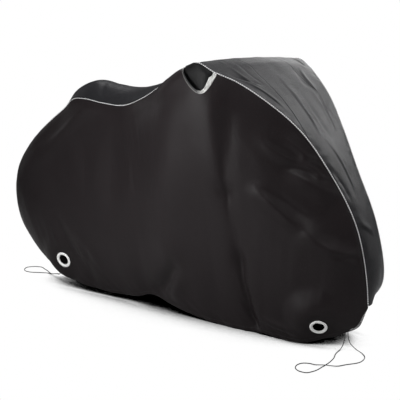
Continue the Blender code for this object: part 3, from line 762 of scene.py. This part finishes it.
def cloth_look(nodes, place, colour, roughness, threads):
    """Woven coated cloth: tone from its threads, with painted shade where they dip, and from
    handling, bump from both.
    """
    size = {"Place": place["UV"], "Threads per metre": threads}
    weave = nodes.add("ShaderNodeGroup", size, node_tree=WEAVE)
    used = nodes.add("ShaderNodeGroup", {"Place": place["Object"]}, node_tree=HANDLING)
    shade = nodes.scaled(colour, nodes.math("MULTIPLY", weave["Tone"], used["Tone"]))
    dust = nodes.math("MULTIPLY", used["Dust"], DUST_SHARE)
    creases = nodes.bump(used["Crumple"], 1.0, CRUMPLE_HEIGHT)
    return {
        "Base Color": nodes.blend(dust, shade, DUST_COLOUR),
        "Roughness": nodes.math("MULTIPLY_ADD", used["Crumple"], 0.3, roughness),
        "Normal": nodes.bump(weave["Height"], 0.5, THREAD_HEIGHT, Normal=creases),
        "Specular IOR Level": CLOTH_GLOSS,
    }


def piping_look(nodes, place):
    """Corded piping under reflective cloth: a shallow twist, with a needle hole at each stitch
    along it, painted dark as shade."""
    along, around, _ = nodes.parts(place["UV"])
    twist = nodes.math("MULTIPLY", nodes.math("ADD", along, around), PIPING_TWIST)
    beat = nodes.math("FRACT", nodes.math("MULTIPLY", along, 1 / PIPING_STITCH))
    # Painted shade in each needle hole
    hole_shade = nodes.span(nodes.off_middle(beat), 0.24, 0.36)
    return {
        "Base Color": nodes.blend(hole_shade, (0.62, 0.62, 0.62, 1.0), (0.14, 0.14, 0.15, 1.0)),
        "Roughness": 0.38,
        "Normal": nodes.bump(nodes.math("SINE", twist), 0.6, 0.0002),
        "Specular IOR Level": 0.6,
    }


def tape_look(nodes, place):
    """Satin tape with long loose strands that run slantwise over it: bright on its front half, and
    painted dark as shade on its rear half but for its tip and its outer edge. Its UV is the run
    along it, and the distance from its inner edge."""
    slant = {"Vector": place["UV"], "Rotation": (0.0, 0.0, 0.5), "Scale": (700.0, 90.0, 1.0)}
    strands = nodes.noise(nodes.add("ShaderNodeMapping", slant)[0], 1.0, 3.0)
    along, across, _ = nodes.parts(place["UV"])
    # Painted shade: where this share is 0 the tape is painted near black
    free_of_painted_shade = nodes.math(
        "MAXIMUM", nodes.span(along, *TAPE_FRONT), nodes.span(across, *TAPE_RIM, end=0.30)
    )
    free_of_painted_shade = nodes.math("MAXIMUM", free_of_painted_shade, nodes.span(along, *TAPE_REAR, end=0.7))
    strand = nodes.blend(
        nodes.span(strands, 0.38, 0.62), (0.13, 0.13, 0.125, 1.0), (0.74, 0.74, 0.72, 1.0)
    )
    return {
        "Base Color": nodes.blend(free_of_painted_shade, (0.008, 0.008, 0.008, 1.0), strand),
        "Roughness": 0.45,
        "Normal": nodes.bump(strands, 0.8, 0.0004),
        "Specular IOR Level": 0.25,
    }


def seam_look(nodes, place):
    """Felled seam: a raised strip of the cloth between two sunk lines painted dark as shadow, with
    no gloss. Its UV starts with the distance from the seam's middle."""
    away = nodes.math("ABSOLUTE", nodes.parts(place["UV"])[0])
    # Painted shadow: the lines beside the strip are painted near black and lose their gloss
    line = nodes.span(away, SEAM_SHADOW_START, SEAM_SHADOW_START + SEAM_SHADOW_SOFT)
    shadow_colour = (0.0012, 0.0012, 0.0013, 1.0)
    return {
        "Base Color": nodes.blend(line, (0.0100, 0.0098, 0.0110, 1.0), shadow_colour),
        "Roughness": 0.5,
        "Specular IOR Level": nodes.span(line, start=CLOTH_GLOSS, end=0.0),
    }


def ring_look(nodes, place):
    """Moulded plastic with a soft gloss, faint swirls of flow and fine scuffs."""
    flow, scuffs = (nodes.noise(place["Object"], *size) for size in ((60.0, 3.0), (700.0, 2.0)))
    return {
        "Base Color": nodes.blend(flow, (0.80, 0.80, 0.79, 1.0), (0.90, 0.90, 0.89, 1.0)),
        "Roughness": nodes.span(scuffs, start=0.22, end=0.42),
        "Normal": nodes.bump(scuffs, 0.3, 0.0001),
    }


def cord_look(nodes, place):
    """Braided cord: two families of strands that cross round it, painted darker where they dip,
    as shade.
    """
    along, around, _ = nodes.parts(nodes.scaled(place["UV"], BRAID_TWIST))
    left, right = (
        nodes.math("SINE", nodes.math(way, along, around)) for way in ("ADD", "SUBTRACT")
    )
    height = nodes.math("MAXIMUM", left, right)
    # Painted shade: the colour falls with the strands' height
    tone_with_painted_shade = nodes.span(height, -1.0, 1.0)
    return {
        "Base Color": nodes.blend(tone_with_painted_shade, (0.004, 0.004, 0.0045, 1.0), (0.014, 0.014, 0.015, 1.0)),
        "Roughness": 0.6,
        "Normal": nodes.bump(height, 0.7, 0.0002),
    }


def thread_look(nodes, place, colour):
    """Sewing thread: a fine twist in bump, and in tone painted darker in its grooves as shade."""
    wave = {"Vector": place["Object"], "Scale": 700.0, "Distortion": 1.0}
    twist = nodes.add("ShaderNodeTexWave", wave)["Fac"]
    # Painted shade: the colour falls in the twist's grooves
    return {
        "Base Color": nodes.scaled(colour, nodes.span(twist, start=0.75, end=1.15)),
        "Roughness": 0.5,
        "Normal": nodes.bump(twist, 0.4, 0.0001),
    }


def new_material(name, look, *facts):
    """A Principled material, whose inputs a function gives from its helper, the piece's own
    coordinates and some facts."""
    made = bpy.data.materials.new(name)
    made.use_nodes = True
    nodes = Nodes(made.node_tree)
    place = nodes.add("ShaderNodeTexCoord", {})
    nodes.join(made.node_tree.nodes["Principled BSDF"], look(nodes, place, *facts))
    return made


# The sides and the top are one black fabric: the top's lighter, bluer colour is painted light on its
# upward faces
SIDE_CLOTH = new_material("side_cloth", cloth_look, (0.0105, 0.0080, 0.0087), 0.42, 1100.0)
TOP_CLOTH_PAINTED_LIGHT = new_material("top_cloth", cloth_look, (0.0120, 0.0118, 0.0132), 0.42, 1100.0)
# The vent's black lining, coloured darker than the sides as painted shade of the vent's recess
LINING_CLOTH_PAINTED_SHADE = new_material("vent_lining_painted_shade", cloth_look, (0.003, 0.003, 0.0032), 0.45, 900.0)
SEAM_TAPE = new_material("seam_tape", seam_look)
PIPING = new_material("piping_cloth", piping_look)
TAPE = new_material("tape_satin", tape_look)
RING = new_material("ring_plastic", ring_look)
CORD = new_material("cord_braid", cord_look)
DARK_THREAD = new_material("dark_thread", thread_look, (0.010, 0.010, 0.011))
LIGHT_THREAD = new_material("light_thread", thread_look, (0.65, 0.65, 0.65))


def place_piece(piece, finish, nodes=()):
    """Give a piece its material and its body, and hide the nodes that it stands for."""
    piece.data.materials.append(finish)
    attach(piece, "root")
    if nodes:
        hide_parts(*nodes)
    return piece


# ------------------------ Camera, light and floor ------------------------
CAMERA_PLACE = (2.837, -3.320, 1.218)
CAMERA_TURN, CAMERA_RISE = 39.3, 9.76
CAMERA_LENS = 91.8
WHITE = (1.0, 1.0, 1.0, 1.0)
# How bright the room is as seen and as light on the object, and how much the floor sends back
ROOM_SEEN, ROOM_GIVEN = 1.0, 0.0
FLOOR_BOUNCE = 0.50
FLOOR_RADIUS, FLOOR_SIDES = 16.0, 96
# The floor's contact shade: its reach, and how open a place is where it is darkest and clear
SHADOW_REACH, SHADOW_DARK, SHADOW_CLEAR = 1.20, 0.31, 0.490

# Soft lights: name, place, what it faces, width, height, power
LIGHTS = (
    ("roof",       (0.3, 0.0, 4.2),      (0.3, 0.0, 0.0),     3.0,  3.0,  90.0),
    ("back right", (1.7, 2.4, 2.5),      (0.5, 0.0, 0.9),     1.8,  1.8,  82.0),
    ("back",       (-0.9, 3.2, 2.1),     (0.2, 0.0, 1.0),     1.6,  1.0,  18.0),
    ("behind",     (0.3, 2.6, 2.6),      (0.3, 0.0, 1.0),     2.0,  1.5,  6.0),
    ("crown",      (0.6, 1.2, 2.6),      (0.5, 0.0, 1.0),     0.8,  0.8,  5.0),
    ("top left",   (-0.9, 0.6, 2.6),     (-0.3, 0.0, 0.9),    1.0,  1.0,  18.0),
    ("key",        (0.0, -1.15, 0.7),    (0.1, 0.0, 0.6),     0.4,  0.9,  7.5),
    ("key left",   (-0.5, -1.7, 0.7),    (0.0, 0.0, 0.55),    0.5,  0.7,  7.0),
    ("key right",  (0.9, -1.3, 1.9),     (0.6, -0.1, 0.7),    0.5,  0.5,  14.0),
    ("saddle",     (-0.27, -0.05, 1.75), (-0.27, -0.05, 0.9), 0.25, 0.25, 3.5),
    ("front left", (-2.6, -3.0, 1.2),    (0.0, 0.0, 0.6),     1.2,  2.0,  15.0),
    ("low right",  (2.6, 2.2, 1.0),      (0.9, 0.0, 0.5),     1.0,  1.2,  10.0),
    ("right",      (3.6, -0.6, 1.4),     (0.6, 0.0, 0.6),     1.0,  2.0,  19.0),
    ("rear",       (-3.5, 0.2, 1.5),     (-0.5, 0.0, 0.5),    1.0,  2.0,  4.5),
)


def stand(name, data, place, back):
    """Put a camera or a lamp at a place, with its back turned to a direction."""
    made = bpy.data.objects.new(name, data)
    made.location = place
    made.rotation_mode = "QUATERNION"
    made.rotation_quaternion = back.to_track_quat("Z", "Y")
    bpy.context.scene.collection.objects.link(made)
    return made


def make_camera():
    """The studio's camera, turned to the right and raised by two angles in degrees."""
    data = bpy.data.cameras.new("camera")
    data.lens = CAMERA_LENS
    turn, rise = np.radians(CAMERA_TURN), np.radians(CAMERA_RISE)
    level = np.cos(rise)
    back = Vector((np.sin(turn) * level, -np.cos(turn) * level, np.sin(rise)))
    bpy.context.scene.camera = stand("camera", data, CAMERA_PLACE, back)


def make_lights():
    """The soft boxes."""
    for name, place, target, width, height, power in LIGHTS:
        data = bpy.data.lights.new(name, "AREA")
        data.shape = "RECTANGLE"
        data.size, data.size_y, data.energy = width, height, power
        made = stand(name, data, place, Vector(place) - Vector(target))
        made.visible_camera = False


def make_world():
    """A plain room, of one brightness as seen and another as light on the object."""
    world = bpy.data.worlds.new("studio")
    world.use_nodes = True
    nodes = Nodes(world.node_tree)
    ray = nodes.add("ShaderNodeLightPath", {})["Is Camera Ray"]
    strength = nodes.span(ray, start=ROOM_GIVEN, end=ROOM_SEEN)
    nodes.join(world.node_tree.nodes["Background"], {"Color": WHITE, "Strength": strength})
    bpy.context.scene.world = world
    bpy.context.scene.view_settings.view_transform = "Standard"


def make_floor():
    """A plain white floor that darkens softly close under the cloth."""
    angle = angles(FLOOR_SIDES)
    rim = np.stack([FLOOR_RADIUS * np.cos(angle), FLOOR_RADIUS * np.sin(angle), 0 * angle], 1)
    floor = new_mesh("floor", rim, [list(range(FLOOR_SIDES))])
    made = bpy.data.materials.new("floor_paper")
    made.use_nodes = True
    nodes = Nodes(made.node_tree)
    made.node_tree.nodes.remove(made.node_tree.nodes["Principled BSDF"])
    clear = nodes.add("ShaderNodeAmbientOcclusion", {"Distance": SHADOW_REACH}, samples=16)["AO"]
    seen = {"Strength": nodes.span(clear, SHADOW_DARK, SHADOW_CLEAR)}
    paper = nodes.add("ShaderNodeEmission", seen)[0]
    bounce = nodes.add("ShaderNodeBsdfDiffuse", {"Color": (*3 * (FLOOR_BOUNCE,), 1.0)})[0]
    ray = nodes.add("ShaderNodeLightPath", {})["Is Camera Ray"]
    both = nodes.add("ShaderNodeMixShader", {0: ray, 1: bounce, 2: paper})[0]
    nodes.join(made.node_tree.nodes["Material Output"], {0: both})
    floor.data.materials.append(made)


make_camera()
make_world()
make_lights()
make_floor()

# ------------------------ Pieces ------------------------
CORD_STEPS = 170


def make_cord(name, way):
    """A loop of cord on the floor, with both ends tucked in behind the near hem."""
    route = np.array(way)
    lengths = lengths_along(route)
    path = smooth(lengths, route.T, np.linspace(0, lengths[-1], CORD_STEPS)[:, None])
    piece = tube(f"cord_{name}", path, CORD_RADIUS, CORD_SIDES, up=(1.0, 0.0, 1.0))
    place_piece(piece, CORD, (f"cord_loop_{name}",))


make_cord("tail", TAIL_CORD)
make_cord("front", FRONT_CORD)

# Grid columns: each stretch of the seam starts at a run and has this step
COLUMN_STEPS = (
    (0.000, 0.0120), (0.500, 0.0055), (0.756, 0.0135), (1.836, 0.0036), (2.056, 0.0045),
    (2.665, 0.0055), (2.975, 0.0085),
)
# Grid rows: each stretch of the way down from seam to hem has this many steps
ROW_STEPS = ((0.00, 8), (0.03, 52), (0.45, 14), (0.76, 22), (0.95, 8))
# The least way from a piece's end to its next column, and how much larger a hole in the cloth
# is than the bore of its ring, in radius
LEAST_STEP = 0.0005
HOLE_RING = 0.0045


def stepped(starts, counts, end):
    """Places from each start to the next in so many even steps, and the end."""
    stretches = zip(starts, (*starts[1:], end), counts)
    return np.concatenate([np.linspace(*stretch, endpoint=False) for stretch in stretches] + [[end]])


def columns(first=0.0, last=RUNS[-1]):
    """Runs of the grid's columns from one run to another."""
    starts, steps = zip(*COLUMN_STEPS)
    lengths = np.diff((*starts, RUNS[-1]))
    runs = stepped(starts, np.ceil(lengths / steps).astype(int), RUNS[-1])
    inner = runs[(runs > first + LEAST_STEP) & (runs < last - LEAST_STEP)]
    return np.concatenate([[first], inner, [last]])


def round_hole(points, keep, middle, normal, radius):
    """Open a round hole in a grid: cells within it go, and the points left inside its rim move
    out to the rim."""
    off = points - middle
    flat = off - (off @ normal)[..., None] * normal
    reach = np.linalg.norm(flat, axis=-1)
    near = np.linalg.norm(off, axis=-1) < 3 * radius
    inside = near & (reach < radius)
    keep &= ~(inside[:-1, :-1] & inside[1:, :-1] & inside[1:, 1:] & inside[:-1, 1:])
    push = np.where(inside, radius - reach, 0.0) / np.maximum(reach, 1e-6)
    return points + push[..., None] * flat


def make_side(name, hand):
    """A side panel with its eyelet holes and the scallop of its vent."""
    run = columns()[:, None]
    start = np.maximum(first_share(run), vent_edge(run, VENT_OUTER))
    share = start + (1 - start) * stepped(*zip(*ROW_STEPS), 1.0)
    points = side(run, share, hand)
    keep = np.ones((points.shape[0] - 1, points.shape[1] - 1), bool)
    for eyelet in EYELETS:
        points = round_hole(points, keep, *eyelet_frame(eyelet, hand), eyelet[6] + HOLE_RING)
    piece = cloth_piece(f"cloth_side_{name}", points, points[..., [0, 2]], hand == FAR, keep)
    strips = [f"eyelet_strip_{place}_{name}" for place in ("tail", "front")]
    return place_piece(piece, SIDE_CLOTH, [f"side_{name}"] + strips)


CENTRE_ROWS, GUSSET_ROWS = 72, 52
GUSSET_LEAST = 0.001


def seam_edge(run):
    """Half-width of the top panel up to the piping."""
    return section(run)[..., SEAM_HALF] - PIPING_RADIUS - PIPING_CLEARANCE


def make_top_piece(name, node, run, low, high, count, outward):
    """A piece of the top panel between two edges, given across it at each run."""
    across = low + (high - low) * np.linspace(0, 1, count)
    uv = np.stack([across, run + 0 * across], -1)
    piece = cloth_piece(name, top(run, across), uv, outward)
    return place_piece(piece, TOP_CLOTH_PAINTED_LIGHT, [node])


def make_centre():
    """The middle piece of the top panel, drawn in beside the gussets."""
    run = columns()[:, None]
    beside = (run > GUSSET_RUNS[0]) & (run < GUSSET_RUNS[1])
    drawn_in = np.minimum(seam_edge(run), CENTRE_HALF - SEAM_GAP / 2)
    edge = np.where(beside, drawn_in, seam_edge(run))
    return make_top_piece("cloth_centre", "centre_panel", run, -edge, edge, CENTRE_ROWS, True)


def make_gusset(name, hand):
    """A gusset of the top panel, between the felled seam and the piping."""
    run = columns(*GUSSET_RUNS)[:, None]
    inner = CENTRE_HALF + SEAM_GAP / 2 + 0 * run
    outer = np.maximum(seam_edge(run), inner + GUSSET_LEAST)
    return make_top_piece(
        f"cloth_gusset_{name}", f"gusset_{name}", run, hand * inner, hand * outer, GUSSET_ROWS,
        hand == FAR,
    )


def make_piping(name, hand):
    """The piping along one seam."""
    run = columns()
    path = top(run, hand * section(run)[:, SEAM_HALF])
    piece = tube(f"piping_cord_{name}", path, PIPING_RADIUS, PIPING_SIDES, up=(0.0, 1.0, 0.0))
    place_piece(piece, PIPING, [f"piping_{name}"])


# The lining of a vent: how far it runs past the mouth's ends and, as shares, how far below its
# edge, and where its top row is in the mouth and past it. Then how far it stands out at its
# top, in the depth and at its ends, over what length the ends ease in, and its soft folds:
# their height, and the length in which their wave turns by a radian
LINING_ROWS = 48
LINING_PAST, LINING_BELOW = 0.012, 0.016
LINING_TOP, LINING_END_TOP = 0.0035, 0.030
LINING_PROUD, LINING_DEEP, LINING_END = 0.004, -0.013, -0.003
LINING_EASE = 0.030
LINING_SWELL, LINING_TURN = 0.0022, 0.021


def make_lining(name, hand):
    """The black cloth in a vent's mouth, coloured darker than the sides as painted shade of the
    recess.
    """
    run = columns(VENT_RUNS[0] - LINING_PAST, VENT_RUNS[1] + LINING_PAST)[:, None]
    mouth = vent_edge(run, VENT_OUTER)
    part = np.linspace(0, 1, LINING_ROWS)
    share = np.where(mouth > 0, LINING_TOP, LINING_END_TOP) + (mouth + LINING_BELOW) * part
    past_start = run - VENT_RUNS[0]
    window = fade(past_start / LINING_EASE) * fade((VENT_RUNS[1] - run) / LINING_EASE)
    depth = LINING_PROUD * (1 - fade(part / 0.35)) + LINING_DEEP * fade((part - 0.15) / 0.7)
    folds = np.sin(past_start / LINING_TURN + 1.5 * part) * fade(part / 0.2) * fade((1 - part) / 0.2)
    lift = LINING_END * (1 - window) + (depth + LINING_SWELL * folds) * window
    points, _ = lifted(partial(side, hand=hand), run, share, hand, lift)
    piece = cloth_piece(f"lining_{name}", points, points[..., [0, 2]], hand == FAR)
    place_piece(piece, LINING_CLOTH_PAINTED_SHADE, [f"vent_cloth_{name}"])


# The tape round a vent: how far it stops short of the mouth's ends, how far it laps the side,
# as a share, and stands off it, its least width, as a share, and its thickness
TAPE_STEPS = 7
TAPE_SHORT, TAPE_LAP, TAPE_LIFT, TAPE_LEAST, TAPE_THICK = 0.001, 0.004, 0.0012, 0.002, 0.001


def make_tape(name, hand):
    """The tape that binds a vent's mouth."""
    run = columns(VENT_RUNS[0] + TAPE_SHORT, VENT_RUNS[1] - TAPE_SHORT)[:, None]
    outer = vent_edge(run, VENT_OUTER) + TAPE_LAP
    inner = np.maximum(vent_edge(run, VENT_INNER), first_share(run))
    inner = np.minimum(inner, outer - TAPE_LEAST)
    part = np.linspace(0, 1, TAPE_STEPS)
    share = inner + (outer - inner) * part
    points, _ = lifted(partial(side, hand=hand), run, share, hand, TAPE_LIFT)
    uv = np.stack(np.broadcast_arrays(run - VENT_RUNS[0], TAPE_BREADTH * part), -1)
    piece = cloth_piece(f"tape_{name}", points, uv, hand == FAR, thickness=TAPE_THICK)
    place_piece(piece, TAPE, [f"vent_tape_{name}"])


def make_ring(eyelet, name, hand):
    """A moulded eyelet ring with a domed flange on each face of the cloth."""
    place, *_, outer, inner = eyelet
    half = (outer - inner) / 2
    profile = (
        (inner, -0.0008), (inner + 0.0006, 0.0012), (inner + 0.0020, 0.0024), (inner + half, 0.0031),
        (outer - 0.0030, 0.0027), (outer - 0.0012, 0.0018), (outer, 0.0004), (outer - 0.0006, -0.0002),
        (inner + 0.0022, -0.0003), (inner + 0.0022, -0.0022), (outer - 0.0006, -0.0023),
        (outer, -0.0028), (outer - 0.0015, -0.0040), (inner + 0.0008, -0.0040), (inner, -0.0030),
    )
    piece = turned_ring(f"ring_{place}_{name}", profile, *eyelet_frame(eyelet, hand))
    place_piece(piece, RING, [f"eyelet_ring_{place}_{name}"])


# The felled seam: its section as shares of its half-width and of its height, how far it runs
# past the gusset's ends, how deep it is set in and how thick it is, and its stitches: how far
# from its middle, and their pitch, length and thickness
BAND_ACROSS = (-1.0, -0.65, -0.35, -0.25, 0.0, 0.25, 0.35, 0.65, 1.0)
BAND_HEIGHTS = (0.1, 0.3, 0.5, 0.9, 1.0, 0.9, 0.5, 0.3, 0.1)
BAND_LIFT, BAND_SET_IN, BAND_THICK = 0.0010, 0.0001, 0.0006
BAND_BEFORE, BAND_AFTER = 0.015, 0.020
BAND_STITCH_OFFSET = 0.0036
BAND_STITCH = (0.0048, 0.0036, 0.00035)


def make_seam_band(name, hand):
    """The felled seam between the middle piece and a gusset, with its two rows of stitches."""
    run = columns(GUSSET_RUNS[0] - BAND_BEFORE, GUSSET_RUNS[1] + BAND_AFTER)[:, None]
    line = np.minimum(CENTRE_HALF, seam_edge(run) - SEAM_BAND_HALF)
    part = np.array(BAND_ACROSS)
    across = hand * (line + SEAM_BAND_HALF * part)
    points, _ = lifted(top, run, across, -1, BAND_LIFT * np.array(BAND_HEIGHTS) - BAND_SET_IN)
    uv = np.stack([SEAM_BAND_HALF * part + 0 * run, run + 0 * across], -1)
    band = cloth_piece(f"seam_band_{name}", points, uv, hand == FAR, thickness=BAND_THICK)
    place_piece(band, SEAM_TAPE)
    run, line = run[:, 0], line[:, 0]
    for row, way in (("inner", -1), ("outer", 1)):
        across = hand * (line + way * BAND_STITCH_OFFSET)
        path, normal = lifted(top, run, across, -1, BAND_LIFT)
        thread = stitches(f"seam_stitches_{row}_{name}", path, normal, BAND_STITCH)
        place_piece(thread, DARK_THREAD)


# Stitches along the hem: where light thread takes over, their pitch and length, and their
# rows: name, first and last run, distance from the hem, thread and its thickness
LIGHT_STITCH_RUN = 3.045
HEM_STITCH = (0.0062, 0.0042)
HEM_STITCHES = (
    ("dark_high", 0.01, LIGHT_STITCH_RUN, 0.015, DARK_THREAD, 0.00045),
    ("light_low", LIGHT_STITCH_RUN, RUNS[-1] - 0.002, 0.009, LIGHT_THREAD, 0.0010),
    ("light_high", LIGHT_STITCH_RUN, RUNS[-1] - 0.002, 0.015, LIGHT_THREAD, 0.0010),
)


def make_hem_stitches(name, hand):
    """Stitches that hold the hem's fold, in light thread at the front corner."""
    for row, first, last, inset, finish, thickness in HEM_STITCHES:
        run = columns(first, last)
        share = 1 - inset / np.hypot(*way_down(section(run)))
        path, normal = lifted(partial(side, hand=hand), run, share, hand, 0.0)
        size = (*HEM_STITCH, thickness)
        place_piece(stitches(f"hem_stitches_{row}_{name}", path, normal, size), finish)


for name, hand in HANDS:
    make_side(name, hand)
    make_piping(name, hand)
    make_lining(name, hand)
    make_tape(name, hand)
    make_seam_band(name, hand)
    make_hem_stitches(name, hand)
    for eyelet in EYELETS:
        make_ring(eyelet, name, hand)
make_centre()
for name, hand in HANDS:
    make_gusset(name, hand)
